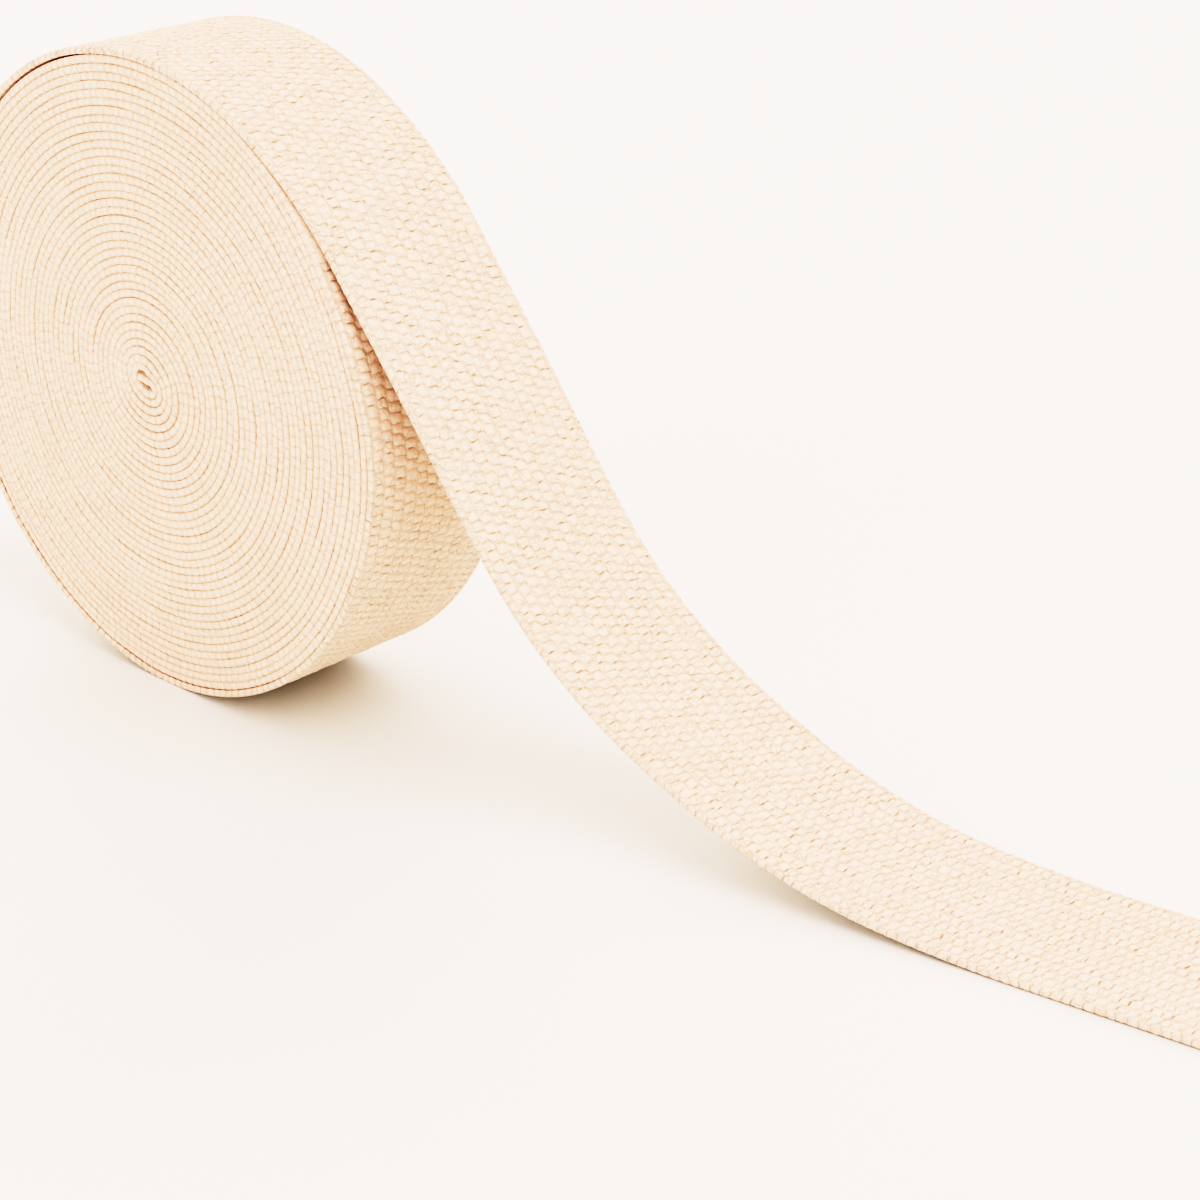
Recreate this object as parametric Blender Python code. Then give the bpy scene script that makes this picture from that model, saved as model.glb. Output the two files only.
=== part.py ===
"""Roll of elastic: a flat knitted band wound on itself, standing on its edge.

Frame: +Z up, metres. The roll's axis is parallel to Y and passes above the origin,
which is the middle of the small flat spot that the roll stands on. The loose end
leaves the roll over the top and runs down and out along +X.
"""

import bisect
import math

import bmesh
import bpy

MM = 0.001

# Driving dimensions of the band and of the roll
BAND_WIDTH = 30.0 * MM
BAND_THICKNESS = 1.35 * MM
ROLL_RADIUS = 54.0 * MM       # outside of the wound turns where the loose end leaves them
FLAT_HALF_WIDTH = 5.0 * MM    # half of the flat spot under the roll, along X
EDGE_CHAMFER = 0.45 * MM      # the rounded selvedges at the rim of the roll
PIECE_GAP = 0.3 * MM          # between the wound turns and the loose end

# Angles about the roll's axis, in degrees clockwise from straight up
LIFT_ANGLE = -75.0            # the outermost turn starts to stand off the roll here
LEAVE_ANGLE = 57.0            # and leaves it along its tangent here
CLEAR_ANGLE = 67.0            # the wound turns are at their full radius from here on
BUTT_GAP_ANGLE = 0.6          # between the end of the loose piece and the wound turns
TURN = 360.0

ROLL_STEPS = 132
ARC_STEPS = 30
STEPS_PER_SECTION = 6

# How far the outermost turn stands off the turn below, past the piece gap
LIFT_SECTIONS = (
    # angle, lift
    (-75.0, 0.0 * MM),
    (-62.0, 0.7 * MM),
    (-45.0, 1.0 * MM),
    (-28.0, 0.5 * MM),
    (-12.0, 0.0 * MM),
    (57.0, 0.0 * MM),
)

# How far the wound turns bulge out of round
BULGE_SECTIONS = (
    # angle, bulge
    (67.0, 0.0 * MM),
    (88.0, 0.5 * MM),
    (120.0, -0.3 * MM),
    (150.0, -0.3 * MM),
    (190.0, 0.0 * MM),
    (240.0, 0.3 * MM),
    (285.0, 0.0 * MM),
)

# Underside of the loose end, from the roll to the cut end
TAIL_SECTIONS = (
    # x, height
    (57.2 * MM, 65.6 * MM),
    (73.6 * MM, 40.2 * MM),
    (82.1 * MM, 29.9 * MM),
    (94.0 * MM, 19.9 * MM),
    (109.8 * MM, 10.7 * MM),
    (123.2 * MM, 5.2 * MM),
    (135.5 * MM, 2.1 * MM),
    (149.5 * MM, 0.5 * MM),
    (164.0 * MM, 0.0 * MM),
    (201.0 * MM, 0.0 * MM),
)

# The loose end wanders sideways as it runs out
DRIFT_START = 26.7 * MM       # x where it begins
DRIFT_EASE = 20.0 * MM        # run over which it reaches its full slope
DRIFT_SLOPE = 0.142

SHARP_ANGLE = math.radians(35.0)
ROUGHNESS = 0.85
ELASTIC_COLOUR = (0.90, 0.81, 0.69)


def smooth_between(sections, at):
    """Value of a two-column table at a place, eased between its rows."""
    places = [row[0] for row in sections]
    row = min(max(bisect.bisect_right(places, at), 1), len(sections) - 1)
    (low, low_value), (high, high_value) = sections[row - 1], sections[row]
    share = min(max((at - low) / (high - low), 0.0), 1.0)
    eased = share * share * (3.0 - 2.0 * share)
    return low_value + (high_value - low_value) * eased


def spiral_radius(angle):
    """Outer radius of the winding; it grows by one band thickness for each turn."""
    return ROLL_RADIUS + BAND_THICKNESS * (angle - LEAVE_ANGLE) / TURN


def axis_height():
    """Height of the roll's axis, low enough to press its flat spot."""
    return math.sqrt(spiral_radius(180.0) ** 2 - FLAT_HALF_WIDTH ** 2)


def around_axis(angle, radius):
    """Point (x, z) at an angle clockwise from straight up."""
    turn = math.radians(angle)
    return radius * math.sin(turn), axis_height() + radius * math.cos(turn)


def roll_outline():
    """Angles and radii round the wound turns, with the step under the loose end."""
    last_angle = LIFT_ANGLE + TURN
    covered = round(ROLL_STEPS * (LEAVE_ANGLE - LIFT_ANGLE) / TURN)
    open_steps = ROLL_STEPS - covered
    outline = []
    for step in range(open_steps + 1):
        angle = LEAVE_ANGLE + (last_angle - LEAVE_ANGLE) * step / open_steps
        tucked = max(CLEAR_ANGLE - angle, 0.0) / (CLEAR_ANGLE - LEAVE_ANGLE)
        bulge = smooth_between(BULGE_SECTIONS, angle)
        outline.append((angle, spiral_radius(angle) + bulge - PIECE_GAP * tucked))
    for step in range(covered):
        angle = last_angle + (LEAVE_ANGLE - LIFT_ANGLE) * step / covered
        outline.append((angle, spiral_radius(angle) - BAND_THICKNESS - PIECE_GAP))
    return outline


def cylinder_from_outline(name, outline):
    """Closed solid whose rim is chamfered at both faces."""
    half = BAND_WIDTH / 2.0
    rings = (
        # side position, inset from the outline
        (-half, EDGE_CHAMFER),
        (-half + EDGE_CHAMFER, 0.0),
        (half - EDGE_CHAMFER, 0.0),
        (half, EDGE_CHAMFER),
    )
    shape = bmesh.new()
    loops = []
    for side, inset in rings:
        ring = []
        for angle, radius in outline:
            x, z = around_axis(angle, radius - inset)
            ring.append(shape.verts.new((x, side, max(z, 0.0))))
        loops.append(ring)
    count = len(outline)
    for first, second in zip(loops, loops[1:]):
        for index in range(count):
            after = (index + 1) % count
            shape.faces.new((first[index], first[after], second[after], second[index]))
    shape.faces.new(loops[0])
    shape.faces.new(loops[-1])
    return finish_mesh(name, shape)


def tail_route():
    """Underside of the loose end as (x, z) points, from the roll's left side to the cut."""
    route = []
    first_angle = LIFT_ANGLE + BUTT_GAP_ANGLE
    for step in range(ARC_STEPS + 1):
        angle = first_angle + (LEAVE_ANGLE - first_angle) * step / ARC_STEPS
        under = spiral_radius(angle) + smooth_between(LIFT_SECTIONS, angle)
        route.append(around_axis(angle, under))
    knots = [route[-1]] + list(TAIL_SECTIONS)
    leave = math.radians(LEAVE_ANGLE)
    slopes = [-math.tan(leave)]
    for before, after in zip(knots, knots[2:]):
        slopes.append((after[1] - before[1]) / (after[0] - before[0]))
    slopes[-1] = 0.0
    slopes.append(0.0)
    for index in range(len(knots) - 1):
        (x0, z0), (x1, z1) = knots[index], knots[index + 1]
        run = x1 - x0
        for step in range(1, STEPS_PER_SECTION + 1):
            t = step / STEPS_PER_SECTION
            height = ((2 * t ** 3 - 3 * t ** 2 + 1) * z0 + (t ** 3 - 2 * t ** 2 + t) * run * slopes[index]
                      + (3 * t ** 2 - 2 * t ** 3) * z1 + (t ** 3 - t ** 2) * run * slopes[index + 1])
            route.append((x0 + run * t, max(height, 0.0)))
    return route


def drift(x):
    """Sideways shift of the loose end at a distance from the roll's axis."""
    run = max(x - DRIFT_START, 0.0)
    if run < DRIFT_EASE:
        return DRIFT_SLOPE * run * run / (2.0 * DRIFT_EASE)
    return DRIFT_SLOPE * (run - DRIFT_EASE / 2.0)


def sheet_along(name, route):
    """Band of the full width and thickness whose underside follows a route."""
    half = BAND_WIDTH / 2.0
    shape = bmesh.new()
    sections = []
    for index, (x, z) in enumerate(route):
        before = route[max(index - 1, 0)]
        after = route[min(index + 1, len(route) - 1)]
        length = math.hypot(after[0] - before[0], after[1] - before[1])
        outward = (-(after[1] - before[1]) / length, (after[0] - before[0]) / length)
        top = (x + outward[0] * BAND_THICKNESS, z + outward[1] * BAND_THICKNESS)
        shift = drift(x)
        corners = ((x, z, -half), (x, z, half), (*top, half), (*top, -half))
        sections.append([shape.verts.new((px, side + shift, pz)) for px, pz, side in corners])
    for first, second in zip(sections, sections[1:]):
        for index in range(4):
            after = (index + 1) % 4
            shape.faces.new((first[index], first[after], second[after], second[index]))
    shape.faces.new(sections[0])
    shape.faces.new(sections[-1])
    return finish_mesh(name, shape)


def finish_mesh(name, shape):
    """Object from a bmesh, faces pointing out, round stretches shaded smooth."""
    bmesh.ops.recalc_face_normals(shape, faces=shape.faces)
    mesh = bpy.data.meshes.new(name)
    shape.to_mesh(mesh)
    shape.free()
    mesh.shade_smooth()
    mesh.set_sharp_from_angle(angle=SHARP_ANGLE)
    part = bpy.data.objects.new(name, mesh)
    bpy.context.scene.collection.objects.link(part)
    return part


def elastic_material(name):
    """Soft matt finish of undyed elastic."""
    material = bpy.data.materials.new(name)
    material.use_nodes = True
    shader = material.node_tree.nodes["Principled BSDF"]
    shader.inputs["Base Color"].default_value = (*ELASTIC_COLOUR, 1.0)
    shader.inputs["Roughness"].default_value = ROUGHNESS
    shader.inputs["Metallic"].default_value = 0.0
    return material


def build_wound_roll():
    roll = cylinder_from_outline("wound_roll", roll_outline())
    roll.data.materials.append(elastic_material("wound_elastic"))
    return roll


def build_loose_end():
    tail = sheet_along("loose_end", tail_route())
    tail.data.materials.append(elastic_material("loose_elastic"))
    return tail


def main():
    for leftover in list(bpy.data.objects):
        bpy.data.objects.remove(leftover, do_unlink=True)
    build_wound_roll()
    build_loose_end()


main()
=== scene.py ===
import bisect
import math

import bmesh
import bpy
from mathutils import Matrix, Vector, noise


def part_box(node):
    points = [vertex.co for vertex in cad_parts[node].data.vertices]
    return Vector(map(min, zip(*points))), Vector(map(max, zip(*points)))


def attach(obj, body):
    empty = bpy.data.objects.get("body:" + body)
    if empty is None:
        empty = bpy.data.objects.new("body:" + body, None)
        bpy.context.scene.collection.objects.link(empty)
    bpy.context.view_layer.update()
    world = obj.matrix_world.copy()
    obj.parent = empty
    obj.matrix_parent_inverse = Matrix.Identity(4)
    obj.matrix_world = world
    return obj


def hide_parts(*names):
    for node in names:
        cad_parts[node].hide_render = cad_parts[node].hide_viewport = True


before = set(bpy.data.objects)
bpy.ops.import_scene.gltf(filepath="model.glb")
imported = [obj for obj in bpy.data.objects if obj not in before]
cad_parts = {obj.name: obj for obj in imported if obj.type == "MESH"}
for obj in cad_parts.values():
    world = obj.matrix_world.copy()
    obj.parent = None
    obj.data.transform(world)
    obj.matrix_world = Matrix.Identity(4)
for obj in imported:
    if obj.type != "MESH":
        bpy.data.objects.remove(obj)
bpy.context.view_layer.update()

mm = 0.001
rollLow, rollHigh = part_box("wound_roll")
tailLow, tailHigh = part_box("loose_end")

# the band itself and how it is wound, in the same sizes as the solids; only the gap where it
# lifts and the bulges are a little finer than theirs
band = {
    "width": rollHigh[1] - rollLow[1],
    "middle": (rollHigh[1] + rollLow[1]) / 2,
    "thickness": 1.35 * mm,
    "rollRadius": 54.0 * mm,
    "flatHalfWidth": 5.0 * mm,
    "liftAngle": -75.0,
    "leaveAngle": 57.0,
    "overlap": 2.0,    # degrees the outermost turn starts before the wound turns end
    "stepAngle": 1.5,  # degrees a step round the outside
    "liftSteps": 90,   # steps from where it lifts to where it leaves
    "driftStart": 26.7 * mm,
    "driftEase": 20.0 * mm,
    "driftSlope": 0.142,
}

liftRows = (  # angle, how far the outermost turn stands off
    (-75.0, 0.0 * mm),
    (-62.0, 0.05 * mm),
    (-40.0, 0.32 * mm),
    (-22.0, 0.24 * mm),
    (-6.0, 0.0 * mm),
    (57.0, 0.0 * mm),
)

bulgeRows = (  # angle, how far the turns bulge out of round
    (38.0, 0.0 * mm),
    (60.0, -0.6 * mm),
    (70.0, -0.45 * mm),
    (92.0, 0.45 * mm),
    (120.0, -0.3 * mm),
    (150.0, -0.3 * mm),
    (190.0, 0.0 * mm),
    (240.0, 0.3 * mm),
    (285.0, 0.0 * mm),
)

tailRows = (  # x, height of the underside
    (57.2 * mm, 65.6 * mm),
    (73.6 * mm, 40.2 * mm),
    (82.1 * mm, 29.9 * mm),
    (94.0 * mm, 19.9 * mm),
    (109.8 * mm, 10.7 * mm),
    (123.2 * mm, 5.2 * mm),
    (135.5 * mm, 2.1 * mm),
    (149.5 * mm, 0.5 * mm),
    (164.0 * mm, 0.0 * mm),
    (tailHigh[0], 0.0 * mm),
)

# stitches: columns run along the band, and each column sits part of a stitch back from the last
knit = {
    "columns": 13,
    "selvedge": 0.70 * mm,
    "back": 0.56,           # how much further along the stitches of each next column start
    "borderWidth": 0.28,    # half the width over which a row steps from one column to the next
    "rowOnRoll": 1.78 * mm,
    "rowOnFloor": 1.60 * mm,
    "shearOnFloor": 0.12,
    "relief": 0.36 * mm,
    "uneven": 0.35,         # how much lower the lowest stitches stand
    "crownPower": 2.6,      # how flat the stitches are on top
    "selvedgeHeight": 0.75,
    "selvedgeDip": 0.3,
    "aheadShare": 0.88,     # depth of the creases across the band, against the corners of a stitch
    "besideShare": 0.80,    # and of those beside a stitch
    "wander": 0.30,         # how far a row wanders, in stitches
    "wanderEvery": 8 * mm,
    "crowdFrom": 150 * mm,  # where the loose end's stitches start to crowd, from where it lifts
    "crowdOver": 90 * mm,
    "edgeDepth": 0.30 * mm,
    "edgeBeat": 0.07 * mm,  # how far each stitch pushes the edge out
    "edgeSway": 0.10 * mm,  # and how far the edge wanders
    "edgeSwayEvery": 14 * mm,
    "samples": 5,           # grid steps to a stitch
    "acrossSteps": 67,
    "edgeSteps": 6,
    "underStepsLoose": 20,
    "underStepsRoll": 8,    # its underside is hidden
}


def easedRow(rows, at):
    places = [row[0] for row in rows]
    upper = min(max(bisect.bisect_right(places, at), 1), len(rows) - 1)
    (low, lowValue), (high, highValue) = rows[upper - 1], rows[upper]
    share = min(max((at - low) / (high - low), 0.0), 1.0)
    return lowValue + (highValue - lowValue) * share * share * (3 - 2 * share)


def spiralRadius(angle):
    return band["rollRadius"] + band["thickness"] * (angle - band["leaveAngle"]) / 360


def axisHeight():
    return math.sqrt(spiralRadius(180) ** 2 - band["flatHalfWidth"] ** 2)


def aroundAxis(angle, radius):
    turn = math.radians(angle)
    return radius * math.sin(turn), axisHeight() + radius * math.cos(turn)


def driftAt(x):
    run = max(x - band["driftStart"], 0)
    if run < band["driftEase"]:
        return band["driftSlope"] * run * run / (2 * band["driftEase"])
    return band["driftSlope"] * (run - band["driftEase"] / 2)


def tailPoints(start, stepsPerRow=14):
    # smooth curve through the rows, leaving the roll along its tangent and ending flat
    knots = [start] + list(tailRows)
    slopes = [-math.tan(math.radians(band["leaveAngle"]))]
    slopes += [(b[1] - a[1]) / (b[0] - a[0]) for a, b in zip(knots, knots[2:])]
    slopes[-1] = 0.0
    slopes.append(0.0)
    points = []
    for index in range(len(knots) - 1):
        (x0, z0), (x1, z1) = knots[index], knots[index + 1]
        run = x1 - x0
        for step in range(1, stepsPerRow + 1):
            t = step / stepsPerRow
            blend = 3 * t ** 2 - 2 * t ** 3
            leave = (t ** 3 - 2 * t ** 2 + t) * run * slopes[index]
            arrive = (t ** 3 - t ** 2) * run * slopes[index + 1]
            points.append((x0 + run * t, max(z0 + (z1 - z0) * blend + leave + arrive, 0)))
    return points


class BandLine:
    # the middle line of a stretch of band, read by the length along it
    def __init__(self, points):
        self.points = points
        self.along = [0.0]
        for a, b in zip(points, points[1:]):
            self.along.append(self.along[-1] + math.hypot(b[0] - a[0], b[1] - a[1]))
        self.length = self.along[-1]
        self.outward = []
        last = len(points) - 1
        for index in range(len(points)):
            a, b = points[max(index - 1, 0)], points[min(index + 1, last)]
            size = math.hypot(b[0] - a[0], b[1] - a[1])
            self.outward.append((-(b[1] - a[1]) / size, (b[0] - a[0]) / size))

    def at(self, s):
        upper = min(max(bisect.bisect_right(self.along, s), 1), len(self.along) - 1)
        low, high = self.along[upper - 1], self.along[upper]
        t = (s - low) / (high - low)
        (ax, az), (bx, bz) = self.points[upper - 1], self.points[upper]
        (anx, anz), (bnx, bnz) = self.outward[upper - 1], self.outward[upper]
        nx, nz = anx + (bnx - anx) * t, anz + (bnz - anz) * t
        size = math.hypot(nx, nz)
        return ax + (bx - ax) * t, az + (bz - az) * t, nx / size, nz / size


def outerPoints():
    # the outermost turn: round the outside of the roll, up over the top, and out as the loose end
    half = band["thickness"] / 2
    points = []
    angle = band["leaveAngle"] - band["overlap"]
    while angle < band["liftAngle"] + 360 - 0.01:
        points.append(aroundAxis(angle, spiralRadius(angle) + easedRow(bulgeRows, angle) - half))
        angle += band["stepAngle"]
    under = []
    for step in range(band["liftSteps"] + 1):
        share = step / band["liftSteps"]
        angle = band["liftAngle"] + (band["leaveAngle"] - band["liftAngle"]) * share
        under.append(aroundAxis(angle, spiralRadius(angle) + easedRow(liftRows, angle)))
    under += tailPoints(under[-1])
    underLine = BandLine(under)
    for (x, z), (nx, nz) in zip(under, underLine.outward):
        points.append((x + nx * half, z + nz * half))
    return points


wind = {
    "finestAngle": 7.5,      # degrees a step near the centre
    "stepAlong": 0.72 * mm,
    "coreRadius": 2.3 * mm,  # where the even winding would start
    "coreFrom": 276.0,       # angle where the first turn round the fold starts
    "coreTilt": 5.0,         # degrees the fold leans
    "coreMiddle": (-0.65 * mm, 0.48 * mm),
    "roundAfter": 5.0,       # turns in which the fold's shape dies away
    "sway": 0.06 * mm,       # how far a turn wanders in and out
    "swayEvery": 3 * mm,     # measured outwards from the middle
    "swayPerTurn": 0.7,
    "swayFull": 10 * mm,     # radius from which it wanders fully
    "edgeSway": 0.15 * mm,   # how far its edge wanders to the side
    "edgeSwayEvery": 26 * mm,
    "edgeShift": 0.26 * mm,  # and how far it does in a shorter beat
    "edgeShiftEvery": 9 * mm,
    "edgeBead": 0.07 * mm,
    "edgeBeadEvery": 1.9 * mm,
    "farEdgeSteps": 3,
    "nearEdgeSteps": 5,
    "bulgePower": 4,         # how fast the bulges die away inwards
}

foldRows = (  # the end of the band in the middle, along and above the lean of its first strand
    (-1.8 * mm, 0.05 * mm),
    (-0.9 * mm, 0.03 * mm),
    (0.2 * mm, 0.0 * mm),
    (1.25 * mm, -0.02 * mm),
    (2.06 * mm, -0.34 * mm),
    (2.38 * mm, -1.05 * mm),
    (2.06 * mm, -1.76 * mm),
    (1.25 * mm, -2.1 * mm),
    (0.4 * mm, -2.12 * mm),
    (-0.4 * mm, -1.95 * mm),
    (-1.1 * mm, -1.6 * mm),
    (-1.8 * mm, -1.3 * mm),
    (-2.45 * mm, -0.7 * mm),
    (-2.85 * mm, 0.3 * mm),
)

coreRows = (  # angle from the lean, radius: the first whole turn, laid round the fold
    (276.0, 2.82 * mm),
    (294.0, 2.91 * mm),
    (314.0, 2.83 * mm),
    (332.0, 2.52 * mm),
    (352.0, 2.17 * mm),
    (375.0, 1.87 * mm),
    (400.0, 1.88 * mm),
    (420.0, 2.41 * mm),
    (437.0, 3.03 * mm),
    (466.0, 3.82 * mm),
    (493.0, 4.05 * mm),
    (520.0, 3.69 * mm),
    (535.0, 3.47 * mm),
    (552.0, 3.23 * mm),
    (570.0, 3.18 * mm),
    (595.0, 3.41 * mm),
    (619.0, 3.81 * mm),
    (636.0, 4.17 * mm),
)


def smoothThrough(knots, stepsPerKnot=8):
    points = []
    last = len(knots) - 1
    for index in range(last):
        a, b, c, d = (Vector(knots[min(max(index + offset, 0), last)]) for offset in (-1, 0, 1, 2))
        for step in range(stepsPerKnot):
            t = step / stepsPerKnot
            point = 0.5 * (2 * b + (c - a) * t + (2 * a - 5 * b + 4 * c - d) * t ** 2
                           + (3 * b - a - 3 * c + d) * t ** 3)
            points.append((point.x, point.y))
    return points


def evenRadius(angle):
    return spiralRadius(angle) - band["thickness"] / 2


def woundPoints():
    # the folded start, then turns that soon run round, out to where the outermost turn takes over
    tilt = math.radians(wind["coreTilt"])
    turns = (evenRadius(band["leaveAngle"]) - wind["coreRadius"]) / band["thickness"]
    start = 360 * math.floor((band["leaveAngle"] - 360 * turns) / 360)
    start += wind["coreFrom"] + wind["coreTilt"]
    core = smoothThrough(coreRows)
    coreAngles = [angle for angle, _ in core]
    coreOffsets = []
    for angle, radius in core:
        coreOffsets.append(radius - evenRadius(start + angle - wind["coreFrom"]))
    middleX, middleZ = wind["coreMiddle"]
    points = []
    for along, above in smoothThrough(foldRows):
        x = along * math.cos(tilt) + above * math.sin(tilt)
        z = above * math.cos(tilt) - along * math.sin(tilt)
        points.append((x + middleX, z + middleZ))
    angle = start
    while angle < band["leaveAngle"]:
        done = (angle - start) / 360
        fade = math.exp(-done / wind["roundAfter"])
        inTurn = wind["coreFrom"] + (angle - start) % 360
        upper = min(max(bisect.bisect_right(coreAngles, inTurn), 1), len(core) - 1)
        share = (inTurn - coreAngles[upper - 1]) / (coreAngles[upper] - coreAngles[upper - 1])
        offset = coreOffsets[upper - 1] + (coreOffsets[upper] - coreOffsets[upper - 1]) * share
        radius = evenRadius(angle)
        place = Vector((radius / wind["swayEvery"], math.radians(angle) * wind["swayPerTurn"], 0))
        radius += wind["sway"] * noise.noise(place) * min(1, radius / wind["swayFull"])
        inwards = (radius / band["rollRadius"]) ** wind["bulgePower"]
        radius += easedRow(bulgeRows, angle % 360) * inwards + offset * fade
        turn = math.radians(angle)
        x = radius * math.sin(turn) + middleX * fade
        points.append((x, radius * math.cos(turn) + middleZ * fade))
        stepAngle = math.degrees(wind["stepAlong"] / radius)
        angle += min(stepAngle, wind["finestAngle"])
    centre = axisHeight()
    return [(x, centre + z) for x, z in points]


def sectionRows(acrossSteps, edgeSteps, underSteps):
    # once round the band: across the top, down the far edge, back underneath, up the near edge
    half = band["width"] / 2
    flat = half - knit["edgeDepth"]
    rows = []
    for step in range(acrossSteps):
        rows.append((-flat + 2 * flat * step / acrossSteps, 1.0))
    for step in range(edgeSteps + 1):
        height = math.cos(math.pi * step / edgeSteps)
        rows.append((half - knit["edgeDepth"] * abs(height) ** 3, height))
    for step in range(1, underSteps):
        rows.append((flat - 2 * flat * step / underSteps, -1.0))
    for step in range(edgeSteps):
        height = -math.cos(math.pi * step / edgeSteps)
        rows.append((-half + knit["edgeDepth"] * abs(height) ** 3, height))
    return rows


def stitchColumn(across, height):
    # place across the band in columns; the edges go on past the first and the last one
    field = band["width"] - 2 * knit["selvedge"]
    column = (across / field + 0.5) * knit["columns"]
    if abs(height) < 1:
        extra = (1 - abs(height)) * band["thickness"] / 2 * knit["columns"] / field
        column += math.copysign(extra, across)
    return column


def columnStep(column):
    # goes up by one for each column, softly over the border between two columns
    border = math.floor(column + 0.5)
    share = min(max((column - border) / knit["borderWidth"] / 2 + 0.5, 0), 1)
    return border - 0.5 + share * share * (3 - 2 * share)


def stitchHeight(row, column):
    # soft stitch: up to 1 on its crown, near 0 where its creases meet
    whole = math.floor(column)
    inColumn = row - knit["back"] * columnStep(column)
    stitch = math.floor(inColumn)
    p = 2 * abs(inColumn - stitch - 0.5)
    q = 2 * abs(column - whole - 0.5)
    chance = noise.cell(Vector((stitch + 0.5, whole + 0.5, 0.5)))
    crown = 1 - knit["uneven"] * (0.5 + 0.5 * chance)
    if not 0 < column < knit["columns"]:
        return knit["selvedgeHeight"] - knit["selvedgeDip"] * p ** 3
    ahead = 1 - knit["aheadShare"] * p ** knit["crownPower"]
    return crown * ahead * (1 - knit["besideShare"] * q ** knit["crownPower"])


def wander(s, across, side):
    # how far the weave is shifted here, along and across; each side of the band has its own
    place = Vector((s, across, side * 31 * mm)) / knit["wanderEvery"]
    along = noise.noise(place) * knit["wander"]
    return along, noise.noise(place + Vector((17, 5, 3))) * knit["wander"] * 0.6


def onFloor(s, rollLength):
    # 0 up on the roll, 1 where the loose end lies flat and its stitches crowd together
    run = min(max((s - rollLength - knit["crowdFrom"]) / knit["crowdOver"], 0), 1)
    return run * run * (3 - 2 * run)


def knittedBand(name, line, start, end, alongSteps, section, rowAt, drifts):
    # a stretch of the outermost turn, with its stitches raised
    shape = bmesh.new()
    around = len(section)
    bmesh.ops.create_grid(shape, x_segments=alongSteps, y_segments=around, size=0.5)
    shape.verts.ensure_lookup_table()
    half = band["thickness"] / 2
    weave = {}
    crevice = shape.verts.layers.float.new("crevice")
    for vert in shape.verts:
        s = start + (end - start) * (vert.co.x + 0.5)
        ring = round((vert.co.y + 0.5) * around)
        across, height = section[ring % around]
        x, z, nx, nz = line.at(s)
        side = -1 if height < 0 else 1
        shiftRow, shiftColumn = wander(s, across, side)
        column = stitchColumn(across, height) + shiftColumn
        shear = knit["shearOnFloor"] * onFloor(s, liftAt) * (column - knit["columns"] / 2)
        row = rowAt(s) + shiftRow + shear
        stitch = stitchHeight(row, column)
        lift = 0.0
        if abs(height) == 1:
            lift = -side * knit["relief"] * (1 - stitch)
        wobble = 0.0
        if abs(height) < 1:
            wobble = knit["edgeBeat"] * math.sin(2 * math.pi * row) + edgeWander(s)
        offset = height * half + lift
        px, pz = x + nx * offset, z + nz * offset
        py = band["middle"] + across + (driftAt(x) if drifts else 0) + math.copysign(wobble, across)
        vert[crevice] = 1 - stitch
        weave[vert.index] = (row, column)
        vert.co = Vector((px, py, max(pz, 0)))
    return finishBand(name, shape, weave)


def edgeWander(s):
    return knit["edgeSway"] * noise.noise(Vector((s / knit["edgeSwayEvery"], 7.3, 0.4)))


def finishBand(name, shape, weave):
    uv = shape.loops.layers.uv.new("weave")
    for face in shape.faces:
        face.smooth = True
        for loop in face.loops:
            loop[uv].uv = weave[loop.vert.index]
    bmesh.ops.remove_doubles(shape, verts=shape.verts, dist=0.002 * mm)
    rims = [edge for edge in shape.edges if edge.is_boundary]
    bmesh.ops.holes_fill(shape, edges=rims, sides=0)
    bmesh.ops.recalc_face_normals(shape, faces=shape.faces)
    mesh = bpy.data.meshes.new(name)
    shape.to_mesh(mesh)
    shape.free()
    piece = bpy.data.objects.new(name, mesh)
    bpy.context.scene.collection.objects.link(piece)
    print(name, "has", sum(len(p.vertices) - 2 for p in mesh.polygons), "triangles")
    return piece


def windTurns(name, line):
    # only the edges of these turns show, so the band is plain between them
    half = band["width"] / 2
    section = []
    for side, edgeSteps in ((1, wind["farEdgeSteps"]), (-1, wind["nearEdgeSteps"])):
        for step in range(edgeSteps + 1):
            height = side * math.cos(math.pi * step / edgeSteps)
            section.append((side * (half - knit["edgeDepth"] * abs(height) ** 3), height))
    around = len(section)
    shape = bmesh.new()
    last = len(line.points) - 1
    bmesh.ops.create_grid(shape, x_segments=last, y_segments=around, size=0.5)
    shape.verts.ensure_lookup_table()
    crevice = shape.verts.layers.float.new("crevice")
    weave = {}
    for vert in shape.verts:
        index = round((vert.co.x + 0.5) * last)
        ring = round((vert.co.y + 0.5) * around)
        across, height = section[ring % around]
        (x, z), (nx, nz) = line.points[index], line.outward[index]
        s = line.along[index]
        offset = height * band["thickness"] / 2
        row = s / knit["rowOnRoll"]
        side = math.copysign(1, across)
        out = 0.0
        for beat, layer in (("edgeSway", 0.7), ("edgeShift", 4.7), ("edgeBead", 9.7)):
            out += noise.noise(Vector((s / wind[beat + "Every"], side * 5, layer))) * wind[beat]
        out += 0.5 * wind["edgeBead"] * math.sin(2 * math.pi * row)
        # how near the turn's edge, where the painted groove shade goes
        vert[crevice] = abs(height) ** 1.5
        weave[vert.index] = (row, stitchColumn(across, height))
        y = band["middle"] + across + side * out
        vert.co = Vector((x + nx * offset, y, max(z + nz * offset, 0.02 * mm)))
    return finishBand(name, shape, weave)


def calc(tree, operation, *values):
    node = tree.nodes.new("ShaderNodeMath")
    node.operation = operation
    for socket, value in zip(node.inputs, values):
        if isinstance(value, (int, float)):
            socket.default_value = value
        else:
            tree.links.new(value, socket)
    return node.outputs[0]


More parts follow.
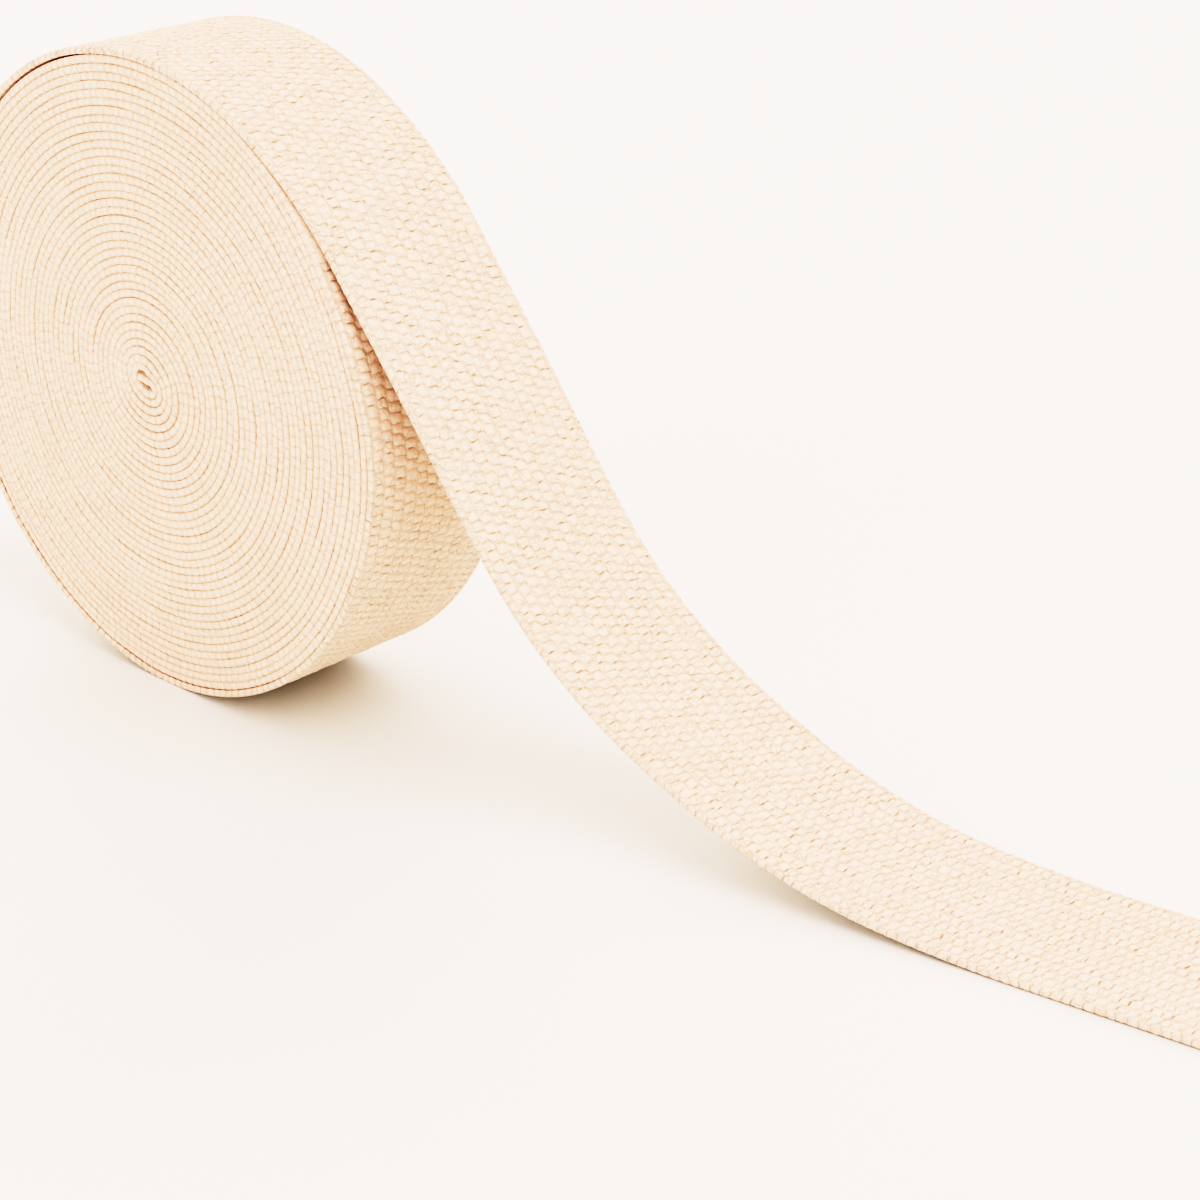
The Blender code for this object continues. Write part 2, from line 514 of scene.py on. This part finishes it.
def ramp(tree, value, low, high, outLow=0.0, outHigh=1.0):
    node = tree.nodes.new("ShaderNodeMapRange")
    node.interpolation_type = "SMOOTHSTEP"
    tree.links.new(value, node.inputs["Value"])
    node.inputs["From Min"].default_value = low
    node.inputs["From Max"].default_value = high
    node.inputs["To Min"].default_value = outLow
    node.inputs["To Max"].default_value = outHigh
    return node.outputs["Result"]


def spot(tree, p, q, centreP, centreQ, wide, tall):
    # soft oval mark inside a stitch's own square
    dp = calc(tree, "DIVIDE", calc(tree, "SUBTRACT", p, centreP), wide)
    dq = calc(tree, "DIVIDE", calc(tree, "SUBTRACT", q, centreQ), tall)
    reach = calc(tree, "ADD", calc(tree, "MULTIPLY", dp, dp), calc(tree, "MULTIPLY", dq, dq))
    return ramp(tree, reach, 0.25, 1.0, 1.0, 0.0)


def flatPower(tree, value, power):
    # 0 in the middle of a stitch, 1 at its border
    return calc(tree, "POWER", calc(tree, "ABSOLUTE", calc(tree, "MULTIPLY", value, 2.0)), power)


# the marks of the weave, drawn as the height of each stitch and as painted shade in its creases and pinholes:
# lengths are shares of a stitch, strengths run from 0 to 1
marks = {
    "waverEvery": 0.9,
    "waverAlong": 0.6,
    "waverAcross": 0.5,
    "hollowPower": 2.4,                  # how flat a stitch is on top
    "hollowBeside": 0.8,
    "lowest": 0.7,
    "edgeFade": 0.1,
    "edgeShare": 0.6,                    # what is left of the marks beyond the outer columns
    "ahead": (0.30, 0.49),               # where the crease across the band starts and is full
    "aheadStrength": (0.2, 0.95),
    "dash": (0.12, 0.5),
    "dashEnd": 0.25,
    "beside": (0.37, 0.49),
    "besideStrength": (0.15, 0.8),
    "strandsEvery": 1.55,
    "strandWidth": 0.085,
    "strandPatch": (0.38, 0.62),
    "strandStrength": (0.15, 0.8),
    "strandDepth": 0.35,
    "corner": (0.43, 0.41, 0.12, 0.11),  # where it is along and across, its length and width
    "cornerChance": (0.15, 0.9),
    "slot": (0.46, -0.08, 0.09, 0.30),
    "slotChance": (0.62, 1.0),
}


def between(tree, chance, limits):
    # an uneven strength: the first limit where chance is 0, the second where it is 1
    return calc(tree, "MULTIPLY_ADD", chance, limits[1] - limits[0], limits[0])


def stitchGroup():
    # one soft stitch in each square of the weave, with painted shade in the creases round it and in the odd
    # pinhole
    tree = bpy.data.node_groups.new("elasticStitches", "ShaderNodeTree")
    face = tree.interface
    face.new_socket("Weave", in_out="INPUT", socket_type="NodeSocketVector")
    for name in ("Height", "Crease Shade", "Pinhole Shade"):
        face.new_socket(name, in_out="OUTPUT", socket_type="NodeSocketFloat")
    entry = tree.nodes.new("NodeGroupInput")
    leave = tree.nodes.new("NodeGroupOutput")
    waver = tree.nodes.new("ShaderNodeTexNoise")
    waver.inputs["Scale"].default_value = marks["waverEvery"]
    waver.inputs["Detail"].default_value = 2.0
    tree.links.new(entry.outputs["Weave"], waver.inputs["Vector"])
    bend = tree.nodes.new("ShaderNodeSeparateColor")
    tree.links.new(waver.outputs["Color"], bend.inputs[0])
    split = tree.nodes.new("ShaderNodeSeparateXYZ")
    tree.links.new(entry.outputs["Weave"], split.inputs[0])
    reachAlong, reachAcross = marks["waverAlong"] / 2, marks["waverAcross"] / 2
    along = calc(tree, "ADD", split.outputs[0], between(tree, bend.outputs[0], (-reachAlong, reachAlong)))
    across = calc(tree, "ADD", split.outputs[1], between(tree, bend.outputs[1], (-reachAcross, reachAcross)))
    column = calc(tree, "FLOOR", across)
    q = calc(tree, "SUBTRACT", calc(tree, "SUBTRACT", across, column), 0.5)
    border = calc(tree, "FLOOR", calc(tree, "ADD", across, 0.5))
    past = calc(tree, "SUBTRACT", across, border)
    step = ramp(tree, past, -knit["borderWidth"], knit["borderWidth"], -0.5, 0.5)
    ahead = calc(tree, "MULTIPLY_ADD", calc(tree, "ADD", border, step), -knit["back"], along)
    row = calc(tree, "FLOOR", ahead)
    p = calc(tree, "SUBTRACT", calc(tree, "SUBTRACT", ahead, row), 0.5)
    place = tree.nodes.new("ShaderNodeCombineXYZ")
    tree.links.new(row, place.inputs[0])
    tree.links.new(column, place.inputs[1])
    chance = tree.nodes.new("ShaderNodeTexWhiteNoise")
    chance.noise_dimensions = "3D"
    tree.links.new(place.outputs[0], chance.inputs["Vector"])
    parts = tree.nodes.new("ShaderNodeSeparateColor")
    tree.links.new(chance.outputs["Color"], parts.inputs[0])
    first, second, third = parts.outputs[0], parts.outputs[1], parts.outputs[2]
    besideHollow = flatPower(tree, q, marks["hollowPower"])
    aheadHollow = flatPower(tree, p, marks["hollowPower"])
    hollow = calc(tree, "MULTIPLY_ADD", besideHollow, marks["hollowBeside"], aheadHollow)
    pillow = calc(tree, "MAXIMUM", calc(tree, "SUBTRACT", 1.0, hollow), 0.0)
    rise = between(tree, third, (marks["lowest"], 1.0))
    height = calc(tree, "MULTIPLY", calc(tree, "POWER", pillow, 0.5), rise)
    fade, left, far = marks["edgeFade"], marks["edgeShare"], knit["columns"]
    inside = calc(tree, "MULTIPLY", ramp(tree, across, -fade, fade, left, 1.0),
                  ramp(tree, across, far - fade, far + fade, 1.0, left))
    # the creases are dashes of painted shade of uneven strength, and fainter beside the stitches than across
    # the band
    shifted = calc(tree, "ABSOLUTE", calc(tree, "MULTIPLY_ADD", second, 0.2, q))
    dash = ramp(tree, shifted, *marks["dash"], 1.0, marks["dashEnd"])
    acrossBand = calc(tree, "MULTIPLY", ramp(tree, calc(tree, "ABSOLUTE", p), *marks["ahead"]), dash)
    acrossBand = calc(tree, "MULTIPLY", acrossBand, between(tree, first, marks["aheadStrength"]))
    beside = calc(tree, "MULTIPLY", ramp(tree, calc(tree, "ABSOLUTE", q), *marks["beside"]),
                  between(tree, second, marks["besideStrength"]))
    creaseShade = calc(tree, "MULTIPLY", calc(tree, "MAXIMUM", acrossBand, beside), inside)
    # the seams between strands are painted shade, and also a dip in the height
    strands = tree.nodes.new("ShaderNodeTexVoronoi")
    strands.feature = "DISTANCE_TO_EDGE"
    strands.inputs["Scale"].default_value = marks["strandsEvery"]
    tree.links.new(entry.outputs["Weave"], strands.inputs["Vector"])
    seam = ramp(tree, strands.outputs["Distance"], 0.0, marks["strandWidth"], 1.0, 0.0)
    patch = ramp(tree, bend.outputs[2], *marks["strandPatch"], *marks["strandStrength"])
    seam = calc(tree, "MULTIPLY", seam, patch)
    creaseShade = calc(tree, "MAXIMUM", creaseShade, seam)
    height = calc(tree, "MULTIPLY_ADD", seam, -marks["strandDepth"], height)
    # pinholes: spots of painted shade at a stitch's corner and in a slot beside it
    cornerShows = ramp(tree, first, *marks["cornerChance"])
    corner = calc(tree, "MULTIPLY", spot(tree, p, q, *marks["corner"]), cornerShows)
    slotShows = ramp(tree, third, *marks["slotChance"])
    slot = calc(tree, "MULTIPLY", spot(tree, p, q, *marks["slot"]), slotShows)
    holes = calc(tree, "MULTIPLY", calc(tree, "MAXIMUM", corner, slot), inside)
    for name, value in (("Height", height), ("Crease Shade", creaseShade), ("Pinhole Shade", holes)):
        tree.links.new(value, leave.inputs[name])
    return tree


grooveShadeRows = (  # noise scale along the band, where the painted groove shade starts to show, where it shows fully
    (0.13, 0.36, 0.66),
    (0.85, 0.30, 0.68),
)


def grooveShadeGroup():
    # how strongly the painted shade in the groove beside a turn shows: it comes and goes along the band
    tree = bpy.data.node_groups.new("elasticGrooveShade", "ShaderNodeTree")
    face = tree.interface
    face.new_socket("Weave", in_out="INPUT", socket_type="NodeSocketVector")
    face.new_socket("Strength", in_out="OUTPUT", socket_type="NodeSocketFloat")
    entry = tree.nodes.new("NodeGroupInput")
    leave = tree.nodes.new("NodeGroupOutput")
    split = tree.nodes.new("ShaderNodeSeparateXYZ")
    tree.links.new(entry.outputs["Weave"], split.inputs[0])
    strengths = []
    for scale, low, high in grooveShadeRows:
        texture = tree.nodes.new("ShaderNodeTexNoise")
        texture.noise_dimensions = "1D"
        texture.inputs["Scale"].default_value = scale
        texture.inputs["Detail"].default_value = 1.0
        tree.links.new(split.outputs[0], texture.inputs["W"])
        strengths.append(ramp(tree, texture.outputs["Fac"], low, high))
    uneven = calc(tree, "MULTIPLY", strengths[0], between(tree, strengths[1], (0.4, 1.0)))
    tree.links.new(between(tree, uneven, finish["grooveShadeStrength"]), leave.inputs["Strength"])
    return tree


def fuzzGroup():
    # fine loose fibre and slow changes of tone, both in object space
    tree = bpy.data.node_groups.new("elasticFuzz", "ShaderNodeTree")
    face = tree.interface
    face.new_socket("Fibre Size", in_out="INPUT", socket_type="NodeSocketFloat")
    face.new_socket("Fibre", in_out="OUTPUT", socket_type="NodeSocketFloat")
    face.new_socket("Drift", in_out="OUTPUT", socket_type="NodeSocketFloat")
    entry = tree.nodes.new("NodeGroupInput")
    leave = tree.nodes.new("NodeGroupOutput")
    place = tree.nodes.new("ShaderNodeTexCoord")
    fine = tree.nodes.new("ShaderNodeTexNoise")
    fine.inputs["Detail"].default_value = 3.0
    fine.inputs["Distortion"].default_value = 0.8
    tree.links.new(place.outputs["Object"], fine.inputs["Vector"])
    tree.links.new(calc(tree, "DIVIDE", 1.0, entry.outputs["Fibre Size"]), fine.inputs["Scale"])
    slow = tree.nodes.new("ShaderNodeTexNoise")
    slow.inputs["Scale"].default_value = 1 / finish["driftSize"]
    slow.inputs["Detail"].default_value = 2.0
    tree.links.new(place.outputs["Object"], slow.inputs["Vector"])
    tree.links.new(fine.outputs["Fac"], leave.inputs["Fibre"])
    tree.links.new(slow.outputs["Fac"], leave.inputs["Drift"])
    return tree


def mixColour(tree, amount, first, second):
    node = tree.nodes.new("ShaderNodeMix")
    node.data_type = "RGBA"
    tree.links.new(amount, node.inputs["Factor"])
    for socket, value in ((node.inputs[6], first), (node.inputs[7], second)):
        if isinstance(value, tuple):
            socket.default_value = (*value, 1.0)
        else:
            tree.links.new(value, socket)
    return node.outputs[2]


finish = {
    "cream": (0.985, 0.842, 0.730),
    "creamShade": (0.848, 0.723, 0.618),
    # painted shade in the creases between the stitches
    "creaseShade": (0.700, 0.604, 0.476),
    "creaseShadeShare": 0.85,
    # painted shade in the pinholes
    "pinholeShade": (0.47, 0.388, 0.27),
    "pinholeShadeShare": 0.9,
    # painted shade in the grooves between the wound turns
    "grooveShade": (0.74, 0.612, 0.472),
    "grooveShadeStrength": (0.05, 0.49),  # at its weakest and its strongest
    "grooveShadeFrom": 0.3,
    "roughness": 0.88,
    "sheen": 0.2,                    # specular level
    "stitchBump": 0.30 * mm,
    "stitchBumpStrength": 0.8,
    "fibreBump": 0.06 * mm,
    "fibreBumpStrength": 0.6,
    "fibreSize": 0.45 * mm,
    "fibreTone": 0.6,
    "fibreShows": (0.38, 0.66),
    "driftTone": 0.15,
    "driftShows": (0.35, 0.65),
    "driftSize": 16 * mm,
}


def elasticMaterial(name, stitches, fuzz, grooves=None):
    material = bpy.data.materials.new(name)
    material.use_nodes = True
    tree = material.node_tree
    shader = tree.nodes["Principled BSDF"]
    shader.inputs["Roughness"].default_value = finish["roughness"]
    shader.inputs["Specular IOR Level"].default_value = finish["sheen"]
    weave = tree.nodes.new("ShaderNodeUVMap")
    weave.uv_map = "weave"
    knitted = tree.nodes.new("ShaderNodeGroup")
    knitted.node_tree = stitches
    tree.links.new(weave.outputs[0], knitted.inputs["Weave"])
    fibres = tree.nodes.new("ShaderNodeGroup")
    fibres.node_tree = fuzz
    fibres.inputs["Fibre Size"].default_value = finish["fibreSize"]
    fibreTone = ramp(tree, fibres.outputs["Fibre"], *finish["fibreShows"], 0.0, finish["fibreTone"])
    driftTone = ramp(tree, fibres.outputs["Drift"], *finish["driftShows"], 0.0, finish["driftTone"])
    tone = calc(tree, "ADD", fibreTone, driftTone)
    colour = mixColour(tree, tone, finish["cream"], finish["creamShade"])
    if grooves:
        # painted shade in the grooves between the wound turns, strongest at their edges
        beside = tree.nodes.new("ShaderNodeGroup")
        beside.node_tree = grooves
        tree.links.new(weave.outputs[0], beside.inputs["Weave"])
        crevice = tree.nodes.new("ShaderNodeAttribute")
        crevice.attribute_name = "crevice"
        depth = ramp(tree, crevice.outputs["Fac"], finish["grooveShadeFrom"], 1.0)
        depth = calc(tree, "MULTIPLY", depth, beside.outputs["Strength"])
        colour = mixColour(tree, depth, colour, finish["grooveShade"])
    else:
        # painted shade in the creases and pinholes between the stitches
        creaseShade = calc(tree, "MULTIPLY", knitted.outputs["Crease Shade"], finish["creaseShadeShare"])
        colour = mixColour(tree, creaseShade, colour, finish["creaseShade"])
        pinholeShade = calc(tree, "MULTIPLY", knitted.outputs["Pinhole Shade"], finish["pinholeShadeShare"])
        colour = mixColour(tree, pinholeShade, colour, finish["pinholeShade"])
    tree.links.new(colour, shader.inputs["Base Color"])
    coarse = tree.nodes.new("ShaderNodeBump")
    coarse.inputs["Distance"].default_value = finish["stitchBump"]
    coarse.inputs["Strength"].default_value = finish["stitchBumpStrength"]
    tree.links.new(knitted.outputs["Height"], coarse.inputs["Height"])
    fine = tree.nodes.new("ShaderNodeBump")
    fine.inputs["Distance"].default_value = finish["fibreBump"]
    fine.inputs["Strength"].default_value = finish["fibreBumpStrength"]
    tree.links.new(fibres.outputs["Fibre"], fine.inputs["Height"])
    tree.links.new(coarse.outputs[0], fine.inputs["Normal"])
    tree.links.new(fine.outputs[0], shader.inputs["Normal"])
    return material


studio = {
    "floor": (0.848, 0.943, 0.935),
    "floorSize": 40.0,   # metres, so that no edge shows in any view
    "floorDrop": 0.05 * mm,
    "floorRoughness": 0.7,
    "floorSheen": 0.2,
    "airLight": (1.095, 0.838, 0.746),
    "lampLight": (1.08, 0.876, 0.882),
    "airStrength": 1.42,
    "lampSpread": 50.0,
    "halfLevel": 0.757,  # the light that comes out half as bright as white
    "shoulderPower": 2.925,
    "shoulderReach": 3.0,
    "shoulderPoints": 24,
}

lampRows = (  # name, degrees round from straight in front of the roll, height, strength
    ("softRight", 90.0, 55.0, 1.54),
    ("softFront", 0.0, 25.0, 0.71),
    ("softBehind", -135.0, 25.0, 1.76),
    ("softBehindRight", 135.0, 25.0, 0.21),
)

lens = {
    "azimuth": 43.5,
    "elevation": 24.14,
    "roll": -0.52,
    "distance": 410.5 * mm,
    "target": (89.0 * mm, -1.5 * mm, 38.0 * mm),
    "focal": 82.7,
}


def setFloor():
    shape = bmesh.new()
    bmesh.ops.create_grid(shape, x_segments=2, y_segments=2, size=studio["floorSize"] / 2)
    bmesh.ops.translate(shape, verts=shape.verts, vec=(0, 0, -studio["floorDrop"]))
    mesh = bpy.data.meshes.new("floor")
    shape.to_mesh(mesh)
    shape.free()
    floor = bpy.data.objects.new("floor", mesh)
    bpy.context.scene.collection.objects.link(floor)
    pale = bpy.data.materials.new("paleFloor")
    pale.use_nodes = True
    shader = pale.node_tree.nodes["Principled BSDF"]
    shader.inputs["Base Color"].default_value = (*studio["floor"], 1)
    shader.inputs["Roughness"].default_value = studio["floorRoughness"]
    shader.inputs["Specular IOR Level"].default_value = studio["floorSheen"]
    mesh.materials.append(pale)


def setLight():
    world = bpy.data.worlds.new("studioAir")
    world.use_nodes = True
    air = world.node_tree.nodes["Background"]
    air.inputs["Color"].default_value = (*studio["airLight"], 1)
    air.inputs["Strength"].default_value = studio["airStrength"]
    bpy.context.scene.world = world
    for name, side, height, strength in lampRows:
        lamp = bpy.data.lights.new(name, "SUN")
        lamp.angle = math.radians(studio["lampSpread"])
        lamp.energy = strength
        lamp.color = studio["lampLight"]
        place = bpy.data.objects.new(name, lamp)
        place.rotation_euler = (math.radians(90 - height), 0, math.radians(side))
        bpy.context.scene.collection.objects.link(place)


def setFilm():
    # a camera's own curve: steep in the shade, with a long soft shoulder in the light
    view = bpy.context.scene.view_settings
    view.view_transform = "Standard"
    view.use_curve_mapping = True
    mapping = view.curve_mapping
    mapping.white_level = [studio["shoulderReach"]] * 3
    curve = mapping.curves[3]
    for step in range(studio["shoulderPoints"] + 1):
        share = step / studio["shoulderPoints"]
        level = (share * studio["shoulderReach"] / studio["halfLevel"]) ** studio["shoulderPower"]
        place = (share, level / (1 + level))
        if step in (0, studio["shoulderPoints"]):
            curve.points[min(step, 1)].location = place
        else:
            curve.points.new(*place)
    mapping.update()


def setCamera():
    azimuth, elevation = math.radians(lens["azimuth"]), math.radians(lens["elevation"])
    back = Vector((math.sin(azimuth) * math.cos(elevation), -math.cos(azimuth) * math.cos(elevation),
                   math.sin(elevation)))
    data = bpy.data.cameras.new("studioCamera")
    data.sensor_width = 36
    data.lens = lens["focal"]
    camera = bpy.data.objects.new("studioCamera", data)
    camera.location = Vector(lens["target"]) + back * lens["distance"]
    turn = back.to_track_quat("Z", "Y").to_matrix().to_4x4()
    camera.rotation_euler = turn.to_euler()
    camera.rotation_euler.rotate_axis("Z", math.radians(lens["roll"]))
    bpy.context.scene.collection.objects.link(camera)
    bpy.context.scene.camera = camera


print("camera and studio")
setCamera()
setFloor()
setLight()
setFilm()

print("finding the lines of the band")
outerLine = BandLine(outerPoints())
woundLine = BandLine(woundPoints())
rollDegrees = 360 + band["liftAngle"] - band["leaveAngle"] + band["overlap"]
rollPart = math.radians(rollDegrees) * band["rollRadius"]
liftAt = min(outerLine.along, key=lambda s: abs(s - rollPart))

rowsAlong = [0.0]
for a, b in zip(outerLine.along, outerLine.along[1:]):
    crowded = onFloor((a + b) / 2, liftAt)
    pitch = knit["rowOnRoll"] + (knit["rowOnFloor"] - knit["rowOnRoll"]) * crowded
    rowsAlong.append(rowsAlong[-1] + (b - a) / pitch)


def rowAt(s):
    upper = min(max(bisect.bisect_right(outerLine.along, s), 1), len(rowsAlong) - 1)
    low, high = outerLine.along[upper - 1], outerLine.along[upper]
    return rowsAlong[upper - 1] + (rowsAlong[upper] - rowsAlong[upper - 1]) * (s - low) / (high - low)


print("loose end")
looseSteps = round((rowAt(outerLine.length) - rowAt(liftAt)) * knit["samples"])
looseSection = sectionRows(knit["acrossSteps"], knit["edgeSteps"], knit["underStepsLoose"])
looseEnd = knittedBand("looseEnd", outerLine, liftAt, outerLine.length, looseSteps, looseSection, rowAt, True)
print("outside of the roll")
outerSteps = round(rowAt(liftAt) * knit["samples"])
outerSection = sectionRows(knit["acrossSteps"], knit["edgeSteps"], knit["underStepsRoll"])
outerTurn = knittedBand("outerTurn", outerLine, 0.0, liftAt, outerSteps, outerSection, rowAt, False)
print("wound turns")
woundTurns = windTurns("woundTurns", woundLine)

print("finishes")
stitches = stitchGroup()
fuzz = fuzzGroup()
knittedFinish = elasticMaterial("knittedElastic", stitches, fuzz)
edgeFinish = elasticMaterial("woundElasticEdge", stitches, fuzz, grooveShadeGroup())
looseEnd.data.materials.append(knittedFinish)
outerTurn.data.materials.append(knittedFinish)
woundTurns.data.materials.append(edgeFinish)

for piece in (looseEnd, outerTurn, woundTurns):
    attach(piece, "root")
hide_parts("loose_end")
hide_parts("wound_roll")
print("band:", round(woundLine.length + outerLine.length, 3), "m")
